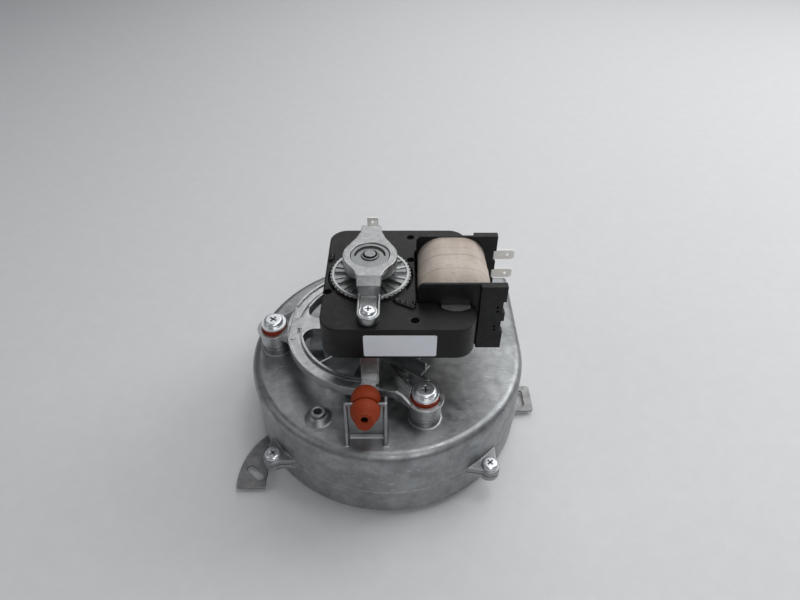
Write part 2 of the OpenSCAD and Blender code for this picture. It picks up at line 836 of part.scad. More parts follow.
// Serrated disc with radial vanes, on top of the rotor
module cooling_disc() {
    hub_r = ledge_r - 0.5;
    disc_z = core_top + end_ring_t;
    rim_z = casing_top + 0.5;
    vane_h = 1.4;
    step = 360 / disc_notches;
    notch = 0.6;
    tooth = [[0, 0], [0.5, 0], [0.6, notch], [0.9, notch]];
    outline = [for (i = [0 : disc_notches - 1], part = tooth)
        (disc_r - part[1]) * [cos((i + part[0]) * step), sin((i + part[0]) * step)]];
    color("#c2c6c8") {
        tube(hub_r, shaft_r + shaft_fit, disc_z, upper_bearing_z - 1);
        difference() {
            translate([0, 0, rim_z]) linear_extrude(sheet_t) polygon(outline);
            cylinder(r = hub_r - 1, h = through);
        }
        for (a = [0 : 30 : 330]) rotate(a)
            translate([hub_r - 0.4, -sheet_t / 2, rim_z])
                cube([disc_r - hub_r - 2.2, sheet_t, sheet_t + vane_h]);
    }
}

module upper_bearing() {
    color("#a98b56") bearing(upper_bearing_z);
}

module upper_bearing_clip() {
    color("#b9bcbe") bearing_clip(upper_bearing_z + bearing_l, clip_r);
}

module shaft_clip() {
    clip_z = upper_bearing_z + bearing_l + 0.3;
    color("#c9ccce") {
        tube(shaft_r + 1.6, shaft_r + shaft_fit, clip_z, clip_z + 0.5);
        tube(shaft_r + 1.6, shaft_r + 0.9, clip_z, clip_z + 1.2);
    }
}

// Motor

module core_plan() {
    difference() {
        translate([core_left, -core_half_w]) square([core_right - core_left, 2 * core_half_w]);
        translate([window_x, -window_half_w])
            square([core_right - limb_w - window_x, 2 * window_half_w]);
    }
}

// One shading ring: two upright legs joined above and below the laminations
shade_r = rotor_r + 3;
shade_w = 2;
shade_turns = [40, 220];
shade_span = 35;
shade_leg = 6;
shade_rise = 1.4;

// Block along an arc of the ring, wider by grow on its two round faces
module shade_arc(turn, span, grow, z0, z1) {
    rotate(turn) rotate_extrude(angle = span)
        translate([shade_r - grow, z0]) square([shade_w + 2 * grow, z1 - z0]);
}

module shading_rings() {
    color("#b0673a") for (turn = shade_turns) difference() {
        shade_arc(turn, shade_span, 0, core_z - shade_rise, core_top + shade_rise);
        shade_arc(turn + shade_leg, shade_span - 2 * shade_leg, eps, core_z, core_top);
    }
}

module stator_core() {
    color("#77797b") difference() {
        translate([0, 0, core_z]) linear_extrude(core_t) core_plan();
        cylinder(r = rotor_r + rotor_gap, h = through);
        for (side = [-1, 1])
            translate([0, side * bridge_screw_y, 0]) cylinder(r = screw_r + 0.25, h = through);
        for (turn = shade_turns, start = [turn, turn + shade_span - shade_leg])
            shade_arc(start, shade_leg, 0, core_z - eps, core_top + eps);
    }
}

casing_corner_r = 10;
coil_gap_x = limb_x - coil_w / 2 - 0.9;
coil_gap_half = flange_y + flange_t + 1;
top_recesses = [[21.8, 35], [21.7, 13.8], [23.2, -34.9], [-22, -13.2]];

module motor_casing() {
    centre_x = casing_l / 2 - casing_back;
    color("#232425") {
        difference() {
            translate([centre_x, 0, casing_z]) linear_extrude(casing_t)
                round_rect(casing_l, casing_w, casing_corner_r);
            translate([coil_gap_x, -coil_gap_half, 0]) cube([through, 2 * coil_gap_half, through]);
            translate([0, 0, core_z]) linear_extrude(core_t) core_plan();
            cylinder(r = rotor_r + 1.5, h = through);
            for (z = [casing_z - eps, core_top])
                translate([0, 0, z]) cylinder(r = disc_recess_r, h = core_z - casing_z + eps);
            for (side = [-1, 1])
                translate([0, side * bridge_screw_y, 0]) cylinder(r = screw_r + 0.25, h = through);
            for (p = top_recesses)
                translate([p[0], p[1], casing_top - 1.6]) cylinder(r = 1.9, h = through);
            // Scoop in front of the coil that bares the end of the laminations
            for (side = [-1, 1])
                translate([limb_x, side * (coil_gap_half - 6), core_top]) cylinder(r = 12, h = through);
        }
        raised_bar([14.8, -21.5], [22, -25.5], 3.4, casing_top - eps, casing_top + 1.2);
        raised_bar([-22.3, 18], [-22.3, 14], 3.2, casing_top - eps, casing_top + 1.2);
    }
}

module rating_label() {
    label_t = 0.25;
    middle_x = 15.75;
    middle_z = motor_mid - 0.9;
    color("#c9cfdb") translate([middle_x, -casing_w / 2 - label_t / 2, middle_z])
        cube([label_w, label_t, label_h], center = true);
}

module across(y0, y1) {
    translate([limb_x, y1, motor_mid]) rotate([90, 0, 0]) linear_extrude(y1 - y0) children();
}

// Flange with a terminal wing on its far side; the wing's outer edge is notched
module bobbin_flange() {
    flange_left = -coil_w / 2 - 0.2;
    corner = 4;
    y0 = flange_y;
    y1 = flange_y + flange_t;
    across(y0, y1) {
        translate([flange_left + corner, -flange_half_h])
            square([wing_x - limb_x - flange_left - corner + eps, 2 * flange_half_h]);
        translate([flange_left, -flange_half_h + corner])
            square([2 * corner, 2 * (flange_half_h - corner)]);
        for (side = [-1, 1])
            translate([flange_left + corner, side * (flange_half_h - corner)]) circle(r = corner);
    }
    across(y0, y0 + wing_t) difference() {
        translate([wing_x - limb_x, -flange_half_h]) square([wing_end - wing_x, 2 * flange_half_h]);
        for (z = wing_notch_z)
            translate([wing_end - limb_x - 1.4, z - tab_w / 2 - 0.5]) square([2, tab_w + 1]);
    }
}

module terminal_slots(y) {
    for (z = wing_notch_z)
        translate([tab_root, y - tab_t / 2, motor_mid + z - tab_w / 2])
            cube([wing_end - wing_x, tab_t, tab_w]);
}

wing_mid_y = flange_y + wing_t / 2;
tab_root = wing_x + 2;

module bobbin() {
    color("#1d1d1f") difference() {
        union() {
            bobbin_flange();
            mirror([0, 1, 0]) bobbin_flange();
            across(-flange_y - eps, flange_y + eps) square([tube_w, tube_h], center = true);
        }
        across(-through / 2, through / 2)
            square([limb_w + 2 * limb_fit, core_t + 2 * limb_fit], center = true);
        terminal_slots(wing_mid_y);
    }
}

coil_corner_r = 13.5;

module coil_winding() {
    color("#b5713a") across(-flange_y, flange_y) difference() {
        round_rect(coil_w - 2 * tape_t, coil_h - 2 * tape_t, coil_corner_r - tape_t);
        square([tube_w, tube_h], center = true);
    }
}

module coil_tape() {
    color("#d8cdc0") across(-flange_y, flange_y) difference() {
        round_rect(coil_w, coil_h, coil_corner_r);
        round_rect(coil_w - 2 * tape_t, coil_h - 2 * tape_t, coil_corner_r - tape_t);
    }
}

module terminal_tabs() {
    len = wing_end + tab_reach - tab_root;
    half_w = tab_w / 2;
    point = 1.4;
    color("#d9d5c4") for (z = wing_notch_z)
        translate([tab_root, wing_mid_y + tab_t / 2, motor_mid + z]) rotate([90, 0, 0])
            linear_extrude(tab_t) difference() {
                polygon([
                    [0, -half_w], [len - point, -half_w], [len, point - half_w],
                    [len, half_w - point], [len - point, half_w], [0, half_w]
                ]);
                translate([len - 3.8, 0]) circle(r = 0.9);
            }
}

// Bearing bridge over the rotor

bridge_hub_r = 14.4;
bridge_hub_h = 7;
bridge_plate = 2.9;
ledge_t = 1.2;
front_floor = 3.4;
back_floor = 2;
foot_w = 11.6;
foot_end = bridge_screw_y + 1.2;
rim_rise = 1.6;
rim_t = 1.4;
front_leg_y = disc_r - 2;
back_leg_y = disc_recess_r + 3;
disc_clear_y = disc_recess_r + 0.2;

// Arm from the hub down to a rimmed foot, drawn towards -Y. The flat top ends at knee_y; from
// there it slopes to the upright leg, which it meets at shoulder above the casing. The foot's
// floor lies floor_h above the casing, and where it is above the disc it is a shelf.
module bridge_arm(knee_y, leg_y, shoulder, root_w, tip_w, floor_h) {
    leg_t = 1.7;
    shelf_t = 1.5;
    hub_y = 8;
    leg_out = leg_y + leg_t;
    under = bridge_top - bridge_plate;
    shelf_base = leg_y < disc_clear_y ? floor_h - shelf_t : 0;
    intersection() {
        rotate([90, 0, 90]) translate([0, 0, -root_w]) linear_extrude(2 * root_w) polygon([
            [-hub_y, bridge_top], [-knee_y, bridge_top], [-leg_out, casing_top + shoulder],
            [-leg_out, casing_top + shelf_base], [-leg_y, casing_top + shelf_base],
            [-leg_y, min(casing_top + shoulder - 0.9, under)], [-knee_y + 1.2, under],
            [-hub_y, under]
        ]);
        linear_extrude(through) polygon([
            [-root_w / 2, 0], [-root_w / 2, -hub_y], [-tip_w / 2, -leg_y], [-tip_w / 2, -foot_end],
            [tip_w / 2, -foot_end], [tip_w / 2, -leg_y], [root_w / 2, -hub_y], [root_w / 2, 0]
        ]);
    }
    translate([0, 0, casing_top]) {
        translate([-foot_w / 2, -foot_end, shelf_base])
            cube([foot_w, foot_end - leg_y, floor_h - shelf_base]);
        translate([-foot_w / 2, -foot_end, 0])
            cube([foot_w, foot_end - max(leg_y, disc_clear_y), floor_h]);
        translate([0, -foot_end, 0]) cylinder(d = foot_w, h = floor_h);
        translate([0, 0, floor_h - eps]) linear_extrude(rim_rise + eps) difference() {
            union() {
                translate([-foot_w / 2, -foot_end]) square([foot_w, foot_end - leg_out + eps]);
                translate([0, -foot_end]) circle(d = foot_w);
            }
            translate([-foot_w / 2 + rim_t, -foot_end]) square([foot_w - 2 * rim_t, foot_end]);
            translate([0, -foot_end]) circle(d = foot_w - 2 * rim_t);
        }
    }
}

// Web that widens an arm towards the hub, its half outline given from the hub outwards
module arm_flare(half) {
    last = len(half) - 1;
    translate([0, 0, bridge_top - bridge_plate]) linear_extrude(bridge_plate) polygon(concat(
        half, [for (i = [0 : last]) [-half[last - i][0], half[last - i][1]]]));
}

module bearing_bridge() {
    color("#b3b6b5") difference() {
        union() {
            translate([0, 0, bridge_top - bridge_hub_h]) cylinder(r = bridge_hub_r, h = bridge_hub_h);
            translate([0, 0, upper_bearing_z - ledge_t]) cylinder(r = bearing_r + 1.8, h = bearing_l);
            bridge_arm(front_leg_y - 2.3, front_leg_y, bridge_h - 3.6, foot_w + 2.6, foot_w + 0.8,
                front_floor);
            arm_flare([[-13.2, -5.2], [-9.6, -10.9], [-7.9, -13.4], [-6.9, -16.6]]);
            mirror([0, 1, 0])
                bridge_arm(back_leg_y + 0.7, back_leg_y, bridge_h - 1.5, 15, foot_w - 0.8, back_floor);
            arm_flare([[-13.2, 5.2], [-10.4, 10.8], [-8, 14.8], [-6.4, 19.5]]);
        }
        translate([0, 0, upper_bearing_z]) cylinder(r = bearing_r + 0.02, h = through);
        translate([0, 0, upper_bearing_z + bearing_l]) cylinder(r = clip_r + 0.2, h = through);
        translate([0, 0, casing_top]) cylinder(r = ledge_r, h = through);
        for (side = [-1, 1])
            translate([0, side * bridge_screw_y, 0]) cylinder(r = screw_r + 0.25, h = through);
        // Way out for the earth strip through the back foot's rim
        translate([-tab_w / 2 - 0.1, bridge_screw_y, casing_top + back_floor])
            cube([tab_w + 0.2, 20, 2 * rim_rise]);
    }
}

module bridge_screws() {
    shank_z = bracket_z + 5;
    color("#d3d6d8") for (side = [-1, 1]) {
        head_z = casing_top + (side > 0 ? back_floor + tab_t : front_floor);
        translate([0, side * bridge_screw_y, head_z]) pan_head(3.9, 2.7);
        translate([0, side * bridge_screw_y, shank_z]) cylinder(r = screw_r, h = head_z - shank_z + eps);
    }
}

// Strip under the back screw that bends up into a spade terminal
module earth_tab() {
    strip_z = casing_top + back_floor;
    bend_y = foot_end + foot_w / 2 + 0.4;
    rise = 8.4;
    color("#d9d5c4") difference() {
        union() {
            translate([-tab_w / 2, bridge_screw_y - 4, strip_z])
                cube([tab_w, bend_y - bridge_screw_y + 4, tab_t]);
            translate([-tab_w / 2, bend_y - tab_t, strip_z]) cube([tab_w, tab_t, rise]);
        }
        translate([0, bridge_screw_y, 0]) cylinder(r = screw_r + 0.25, h = through);
        translate([0, bend_y, strip_z + rise - 3]) rotate([90, 0, 0])
            cylinder(r = 0.9, h = 3 * tab_t, center = true);
    }
}

// Silicone tap: two bulbs either side of the holder plate, the front one drawn out to a
// hollow snout whose end is cut off aslant
module pressure_tap() {
    half_slot = holder_t / 2 + 0.1;
    back_y = 4.6;
    front_y = 2.75;
    half_l = 2 * bulb_r;
    snout_y = front_y + 0.42 * bulb_r;
    snout_end = front_y + 9.6;
    bore_r = 1.8;
    bore_rise = 8;
    hole_rise = 2.07;
    cut_y = front_y + 7.9;
    cut_slope = 20;
    color("#c4532a") translate([holder_x, holder_y, tap_z]) rotate([90, 0, 0]) difference() {
        union() {
            intersection() {
                translate([0, 0, front_y]) sphere(r = bulb_r);
                translate([0, 0, half_slot]) cylinder(r = half_l, h = half_l);
            }
            intersection() {
                translate([0, 0, -back_y]) sphere(r = bulb_r);
                translate([0, 0, -half_slot - half_l]) cylinder(r = half_l, h = half_l);
            }
            translate([0, 0, -half_slot - eps]) cylinder(r = tap_neck_r, h = 2 * (half_slot + eps));
            translate([0, 0, snout_y])
                cylinder(r1 = 0.9 * bulb_r, r2 = 0.43 * bulb_r, h = snout_end - snout_y);
        }
        translate([0, hole_rise, front_y + 7.3]) rotate([-bore_rise, 0, 0])
            cylinder(r = bore_r, h = through, center = true);
        translate([0, 0, cut_y]) rotate([-cut_slope, 0, 0])
            translate([-bulb_r * 2, -bulb_r * 3, 0]) cube([4 * bulb_r, 6 * bulb_r, 3 * bulb_r]);
    }
}

mounting_plate();
plate_rivets();
lower_housing();
housing_gasket();
upper_housing();
housing_screws();
shaft_seal();
impeller_backplate();
impeller_blades();
impeller_ring();
impeller_hub();
impeller_washer();
impeller_nut();
shaft();
cooling_fan();
motor_bracket();
grommets();
spacer_sleeves();
bracket_screws();
lower_bearing();
lower_bearing_clip();
rotor_spacer();
rotor_core();
rotor_end_rings();
stator_core();
shading_rings();
motor_casing();
bobbin();
coil_winding();
coil_tape();
terminal_tabs();
rating_label();
cooling_disc();
thrust_washer();
upper_bearing();
upper_bearing_clip();
shaft_clip();
bearing_bridge();
bridge_screws();
earth_tab();
pressure_tap();
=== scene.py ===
# Looks of the combustion fan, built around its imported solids.
# Lengths of pieces are in millimetres until MM turns them into metres.
# Floor, lights and camera are placed in metres.
import json
from math import atan2, pi, radians

import bmesh
import bpy
from mathutils import Matrix, Vector


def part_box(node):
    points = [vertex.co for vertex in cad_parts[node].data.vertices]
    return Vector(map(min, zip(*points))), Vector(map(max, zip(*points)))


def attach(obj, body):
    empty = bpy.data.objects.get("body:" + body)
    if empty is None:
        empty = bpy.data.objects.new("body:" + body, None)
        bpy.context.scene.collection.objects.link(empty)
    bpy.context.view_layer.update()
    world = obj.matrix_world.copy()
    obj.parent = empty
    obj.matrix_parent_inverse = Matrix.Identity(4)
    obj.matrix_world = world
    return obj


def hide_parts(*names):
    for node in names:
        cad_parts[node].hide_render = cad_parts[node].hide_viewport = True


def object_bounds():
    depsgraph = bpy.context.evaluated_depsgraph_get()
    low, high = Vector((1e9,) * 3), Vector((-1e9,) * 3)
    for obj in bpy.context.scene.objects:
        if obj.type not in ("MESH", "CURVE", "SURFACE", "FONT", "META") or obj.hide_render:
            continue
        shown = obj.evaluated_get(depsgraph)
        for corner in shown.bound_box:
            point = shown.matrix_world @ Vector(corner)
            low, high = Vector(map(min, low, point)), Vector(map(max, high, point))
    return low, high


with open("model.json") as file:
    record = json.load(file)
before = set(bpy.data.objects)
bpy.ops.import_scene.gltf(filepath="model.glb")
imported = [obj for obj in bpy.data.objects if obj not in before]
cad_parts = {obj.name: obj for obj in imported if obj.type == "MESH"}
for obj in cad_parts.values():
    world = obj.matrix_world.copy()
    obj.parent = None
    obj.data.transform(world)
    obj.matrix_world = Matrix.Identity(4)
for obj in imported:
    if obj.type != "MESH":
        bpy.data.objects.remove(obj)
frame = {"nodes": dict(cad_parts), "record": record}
cad_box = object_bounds()

MM = 0.001
WELD = 0.002 * MM
EDGE_ANGLE = radians(32)


# Materials

def link(tree, output, target):
    tree.links.new(output, target)


def object_coords(tree, stretch=(1, 1, 1), turn=(0, 0, 0)):
    """Object coordinates, stretched along the axes for brushed or rolled metal."""
    coords = tree.nodes.new("ShaderNodeTexCoord")
    mapping = tree.nodes.new("ShaderNodeMapping")
    mapping.inputs["Scale"].default_value = stretch
    mapping.inputs["Rotation"].default_value = turn
    link(tree, coords.outputs["Object"], mapping.inputs["Vector"])
    return mapping.outputs["Vector"]


def noise(tree, coords, size, detail=4.0, roughness=0.55, distortion=0.0):
    """Noise whose blotches are about size millimetres across."""
    node = tree.nodes.new("ShaderNodeTexNoise")
    node.inputs["Scale"].default_value = 1 / (size * MM)
    node.inputs["Detail"].default_value = detail
    node.inputs["Roughness"].default_value = roughness
    node.inputs["Distortion"].default_value = distortion
    link(tree, coords, node.inputs["Vector"])
    return node.outputs["Fac"]


def spread(tree, value, low, high, from_low=0.3, from_high=0.7):
    """Value stretched so that its usual range reaches from low to high."""
    node = tree.nodes.new("ShaderNodeMapRange")
    node.inputs["From Min"].default_value = from_low
    node.inputs["From Max"].default_value = from_high
    node.inputs["To Min"].default_value = low
    node.inputs["To Max"].default_value = high
    link(tree, value, node.inputs["Value"])
    return node.outputs["Result"]


def scaled(colour, factor):
    """Colour made brighter or darker by a factor, with no channel above 1."""
    return tuple(min(1, channel * factor) for channel in colour)


def mixed(tree, factor, first, second):
    """Colour between two colours; each is a colour or another node's output."""
    node = tree.nodes.new("ShaderNodeMix")
    node.data_type = "RGBA"
    link(tree, factor, node.inputs["Factor"])
    for socket, colour in ((node.inputs["A"], first), (node.inputs["B"], second)):
        if isinstance(colour, tuple):
            socket.default_value = (*colour, 1)
        else:
            link(tree, colour, socket)
    return node.outputs["Result"]


def bump(tree, height, depth, under=None):
    """Bump of depth millimetres, on top of another bump if one is given."""
    node = tree.nodes.new("ShaderNodeBump")
    node.inputs["Strength"].default_value = 1
    node.inputs["Distance"].default_value = depth * MM
    link(tree, height, node.inputs["Height"])
    if under is not None:
        link(tree, under, node.inputs["Normal"])
    return node.outputs["Normal"]


def wear_and_highlight_edge_mask(tree, radius):
    """1 on sharp edges, which are painted bright partly as wear and partly as a painted highlight, falling
    to 0 on flat and gently curved faces.
    """
    softened = tree.nodes.new("ShaderNodeBevel")
    softened.samples = 6
    softened.inputs["Radius"].default_value = radius * MM
    surface = tree.nodes.new("ShaderNodeNewGeometry")
    likeness = tree.nodes.new("ShaderNodeVectorMath")
    likeness.operation = "DOT_PRODUCT"
    link(tree, softened.outputs["Normal"], likeness.inputs[0])
    link(tree, surface.outputs["Normal"], likeness.inputs[1])
    return spread(tree, likeness.outputs["Value"], 1, 0, from_low=0.86, from_high=0.985)


def material(name, metallic=0.0, **sockets):
    """New material with its shader and tree; sockets are constant shader values."""
    made = bpy.data.materials.new(name)
    made.use_nodes = True
    shader = made.node_tree.nodes["Principled BSDF"]
    shader.inputs["Metallic"].default_value = metallic
    for socket, value in sockets.items():
        shader.inputs[socket.replace("_", " ")].default_value = value
    return made, made.node_tree, shader


def cast_metal(name, pale, dark, rough, patch=14, grain=0.55, depth=0.035):
    """Die-cast light alloy: cloudy skin, stains, small pale scuffs, edges painted bright partly as wear and
    partly as a painted highlight, and fine grain.
    """
    made, tree, shader = material(name, metallic=1.0)
    coords = object_coords(tree)
    clouds = noise(tree, coords, patch, detail=5, distortion=0.6)
    skin = mixed(tree, spread(tree, clouds, 0, 1), dark, pale)
    flow = noise(tree, coords, patch * 0.35, detail=2, distortion=0.3)
    stains = spread(tree, flow, 0.36, 0, from_low=0.3, from_high=0.55)
    skin = mixed(tree, stains, skin, scaled(dark, 0.75))
    streaks = noise(tree, object_coords(tree, stretch=(1, 6, 1.6), turn=(0.3, 0.5, 0.9)), 5, detail=8)
    scuffs = spread(tree, streaks, 0, 0.55, from_low=0.6, from_high=0.72)
    skin = mixed(tree, scuffs, skin, scaled(pale, 1.45))
    # Edges painted brighter: partly wear, partly a painted highlight like the one rounded edges catch
    skin = mixed(tree, wear_and_highlight_edge_mask(tree, radius=0.6), skin, scaled(pale, 1.8))
    link(tree, skin, shader.inputs["Base Color"])
    worn = noise(tree, coords, patch * 0.4, detail=6)
    link(tree, spread(tree, worn, rough - 0.09, rough + 0.1), shader.inputs["Roughness"])
    fine = bump(tree, noise(tree, coords, grain, detail=3), depth * 0.5)
    coarse = bump(tree, noise(tree, coords, grain * 5, detail=2), depth, under=fine)
    link(tree, coarse, shader.inputs["Normal"])
    return made


def sheet_metal(name, pale, dark, rough, stretch=(1, 5, 1), depth=0.0005, metallic=1.0):
    """Rolled or plated metal with a faint one-way grain and dull patches."""
    made, tree, shader = material(name, metallic=metallic)
    coords = object_coords(tree)
    lines = noise(tree, object_coords(tree, stretch), 2.4, detail=2)
    patches = noise(tree, coords, 8, detail=4)
    tone = mixed(tree, spread(tree, patches, 0, 1), dark, pale)
    tone = mixed(tree, spread(tree, lines, 0, 0.5), tone, scaled(pale, 1.06))
    link(tree, tone, shader.inputs["Base Color"])
    link(tree, spread(tree, lines, rough - 0.03, rough + 0.04), shader.inputs["Roughness"])
    link(tree, bump(tree, lines, depth), shader.inputs["Normal"])
    return made


def moulded(name, colour, worn, rough, grain=0.35, depth=0.012, **sockets):
    """Moulded plastic or rubber: fine texture, dust in patches, uneven gloss."""
    made, tree, shader = material(name, **sockets)
    coords = object_coords(tree)
    specks = noise(tree, coords, 9, detail=7, roughness=0.65)
    dust = spread(tree, specks, 0, 1, from_low=0.42, from_high=0.78)
    link(tree, mixed(tree, dust, colour, worn), shader.inputs["Base Color"])
    gloss = noise(tree, coords, 4, detail=4)
    link(tree, spread(tree, gloss, rough - 0.07, rough + 0.09), shader.inputs["Roughness"])
    link(tree, bump(tree, noise(tree, coords, grain, detail=2), depth), shader.inputs["Normal"])
    return made


def seam_shade_mask(tree, coords, wander, place, strength):
    """Strength of the painted shade along a tape seam, on a swaying line near y = place, falling to 0 at the
    seam's sides.
    """
    sway = 1.6
    core = 0.1 * MM
    half_width = 0.75 * MM
    split = tree.nodes.new("ShaderNodeSeparateXYZ")
    link(tree, coords, split.inputs["Vector"])
    along = tree.nodes.new("ShaderNodeMath")
    along.operation = "MULTIPLY_ADD"
    along.inputs[1].default_value = sway * MM
    link(tree, wander, along.inputs[0])
    link(tree, split.outputs["Y"], along.inputs[2])
    away = tree.nodes.new("ShaderNodeMath")
    away.operation = "SUBTRACT"
    away.inputs[1].default_value = (place + sway / 2) * MM
    link(tree, along.outputs["Value"], away.inputs[0])
    distance = tree.nodes.new("ShaderNodeMath")
    distance.operation = "ABSOLUTE"
    link(tree, away.outputs["Value"], distance.inputs[0])
    return spread(tree, distance.outputs["Value"], strength, 0, from_low=core, from_high=half_width)


def wound_tape(name, pale, warm, dark, seams):
    """Cream insulating tape: creases along the windings with painted shade in them, painted shade along the
    seams, warmer and greyer patches, lighter streaks of painted sheen.
    """
    made, tree, shader = material(name, Subsurface_Weight=0.06, Subsurface_Scale=0.002)
    coords = object_coords(tree)
    creases = noise(tree, object_coords(tree, stretch=(1, 2.6, 1)), 7, detail=7, distortion=1.1)
    patches = noise(tree, coords, 16, detail=3)
    tone = mixed(tree, spread(tree, patches, 0, 1), warm, pale)
    # Painted shade in the creases
    tone = mixed(tree, spread(tree, creases, 0.5, 0, from_low=0.3, from_high=0.46), tone, dark)
    streaks = noise(tree, object_coords(tree, stretch=(1, 0.22, 1)), 5, detail=3)
    shine = spread(tree, streaks, 0, 0.5, from_low=0.48, from_high=0.7)
    tone = mixed(tree, shine, tone, scaled(pale, 1.22))
    wander = noise(tree, coords, 9, detail=3)
    # Painted shade along each seam
    for place, strength in seams.items():
        tone = mixed(tree, seam_shade_mask(tree, coords, wander, place, strength), tone, dark)
    link(tree, tone, shader.inputs["Base Color"])
    link(tree, spread(tree, creases, 0.38, 0.6), shader.inputs["Roughness"])
    weave = bump(tree, noise(tree, coords, 0.5, detail=2), 0.015)
    link(tree, bump(tree, creases, 0.3, under=weave), shader.inputs["Normal"])
    return made


# Places along the coil where a band of tape ends, each with how dark the painted shade along its seam is
tape_seams = {10.0: 0.4, 3.6: 0.85, -8.0: 0.4}
# Pale and warm tones of the tape, then the dark used as painted shade in its creases and seams
tape_tones = ((0.59, 0.52, 0.465), (0.53, 0.44, 0.37), (0.32, 0.265, 0.22))
matt = {"Specular_IOR_Level": 0.25}
satin = {"Specular_IOR_Level": 0.3}
shineless = {"Specular_IOR_Level": 0.1}

# Finish of each slot: two colours that it varies between, then its roughness
finishes = {
    "cast_shell": cast_metal("shell casting", (0.41, 0.422, 0.428), (0.26, 0.27, 0.275), 0.44),
    "cast_bracket": cast_metal("bracket casting", (0.57, 0.578, 0.582), (0.42, 0.427, 0.43), 0.37, patch=9),
    "cast_bridge": cast_metal("bridge casting", (0.44, 0.45, 0.45), (0.335, 0.34, 0.34), 0.37, patch=7),
    "plate_steel": cast_metal(
        "plate steel", (0.33, 0.33, 0.33), (0.21, 0.21, 0.21), 0.46, patch=8, depth=0.02,
    ),
    "bright_steel": sheet_metal("plated steel", (0.82, 0.84, 0.86), (0.72, 0.74, 0.76), 0.32),
    "sheet_metal": sheet_metal("coated sheet", (0.54, 0.56, 0.57), (0.40, 0.42, 0.43), 0.40),
    "disc_metal": sheet_metal("stamped disc", (0.33, 0.34, 0.34), (0.22, 0.23, 0.23), 0.36),
    "lamination": sheet_metal(
        "laminations", (0.50, 0.50, 0.51), (0.34, 0.34, 0.35), 0.40, stretch=(1, 1, 26),
    ),
    "bronze": sheet_metal(
        "oiled bronze", (0.03, 0.024, 0.018), (0.016, 0.013, 0.01), 0.50, stretch=(1, 1, 1),
    ),
    "hub_brass": sheet_metal(
        "turned brass", (0.62, 0.46, 0.20), (0.50, 0.37, 0.16), 0.30, stretch=(1, 1, 12),
    ),
    # Copper darkened far below its own colour as painted shade, so the shading rings seen under the disc
    # read black
    "copper": sheet_metal("copper darkened as painted shade", (0.05, 0.024, 0.014), (0.03, 0.015, 0.009), 0.40),
    "tinned": sheet_metal("tinned brass", (0.95, 0.945, 0.89), (0.88, 0.875, 0.81), 0.36, metallic=0.2),
    "black_plastic": moulded("black casing", (0.003, 0.003, 0.0032), (0.009, 0.009, 0.0094), 0.40, **satin),
    "bobbin_plastic": moulded("black bobbin", (0.009, 0.009, 0.0095), (0.021, 0.021, 0.0215), 0.44, **satin),
    "tape": wound_tape("coil tape", *tape_tones, tape_seams),
    "label": moulded("bare label", (0.90, 0.93, 0.98), (0.84, 0.88, 0.95), 0.38, grain=0.8, depth=0.006),
    "nylon": moulded("nylon", (0.72, 0.71, 0.66), (0.60, 0.58, 0.53), 0.45),
    "red_silicone": moulded("red silicone", (0.30, 0.028, 0.008), (0.34, 0.046, 0.017), 0.50, **matt),
    "orange_silicone": moulded("orange silicone", (0.27, 0.033, 0.006), (0.30, 0.046, 0.011), 0.58, **matt),
    "seal_felt": moulded(
        "felt seal", (0.035, 0.035, 0.034), (0.07, 0.07, 0.068), 0.85, grain=0.8, depth=0.06,
    ),
    "gasket_fibre": moulded("gasket", (0.56, 0.56, 0.55), (0.66, 0.66, 0.65), 0.7, grain=0.6, depth=0.03),
}

# Finishes of single nodes and of small added pieces
dull_spring = sheet_metal(
    "dull spring steel", (0.30, 0.31, 0.31), (0.21, 0.22, 0.22), 0.40, stretch=(1, 1, 1),
)
# Lighter finish of the disc's ribs and rim, a painted highlight
highlit_disc_relief = sheet_metal("disc relief painted bright", (0.50, 0.51, 0.51), (0.38, 0.39, 0.39), 0.36)
ground_steel = sheet_metal("ground shaft", (0.32, 0.33, 0.335), (0.24, 0.25, 0.255), 0.42)
glossy_resin = moulded(
    "glossy resin", (0.004, 0.004, 0.0042), (0.008, 0.008, 0.0085), 0.15, grain=3, depth=0.05,
)
# Near-black finish: painted shade at the bottom of the screws' recesses, and the dark rings at the clips
dark_recess = moulded("dark recess", (0.012, 0.012, 0.012), (0.03, 0.028, 0.026), 0.7)
# Near-black finish used as painted shade in holes
painted_hole_shade = moulded("painted hole shade", (0.0006, 0.0006, 0.0006), (0.0012, 0.0012, 0.0012), 0.9, **shineless)
node_finish = {
    "upper_bearing_clip": dull_spring,
    "lower_bearing_clip": dull_spring,
    "shaft_clip": dull_spring,
    "shaft": ground_steel,
}
node_slot = {row["node"]: row["material_slot"] for row in frame["record"]["subparts"]}
body_of_node = {
    node: body for body, nodes in frame["record"]["behaviour"]["bodies"].items() for node in nodes
}


# Solids with rounded edges and their finish

def placed(shape, name, node, finish=None):
    """Object from a bmesh that belongs to a CAD node, with its body and the material of its slot or its own
    finish.
    """
    mesh = bpy.data.meshes.new(name)
    shape.to_mesh(mesh)
    shape.free()
    for face in mesh.polygons:
        face.use_smooth = True
    piece = bpy.data.objects.new(name, mesh)
    bpy.context.scene.collection.objects.link(piece)
    mesh.materials.append(finish or node_finish.get(node) or finishes[node_slot[node]])
    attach(piece, body_of_node[node])
    return piece


def rounded(piece, width, segments=3):
    """Rounds every sharp edge of a piece by width millimetres."""
    edge = piece.modifiers.new("Rounded edges", "BEVEL")
    edge.width = width * MM
    edge.segments = segments
    edge.limit_method = "ANGLE"
    edge.angle_limit = EDGE_ANGLE
    edge.use_clamp_overlap = False
    edge.loop_slide = False
    flats = piece.modifiers.new("Flat faces stay flat", "WEIGHTED_NORMAL")
    flats.mode = "FACE_AREA"
    flats.weight = 80


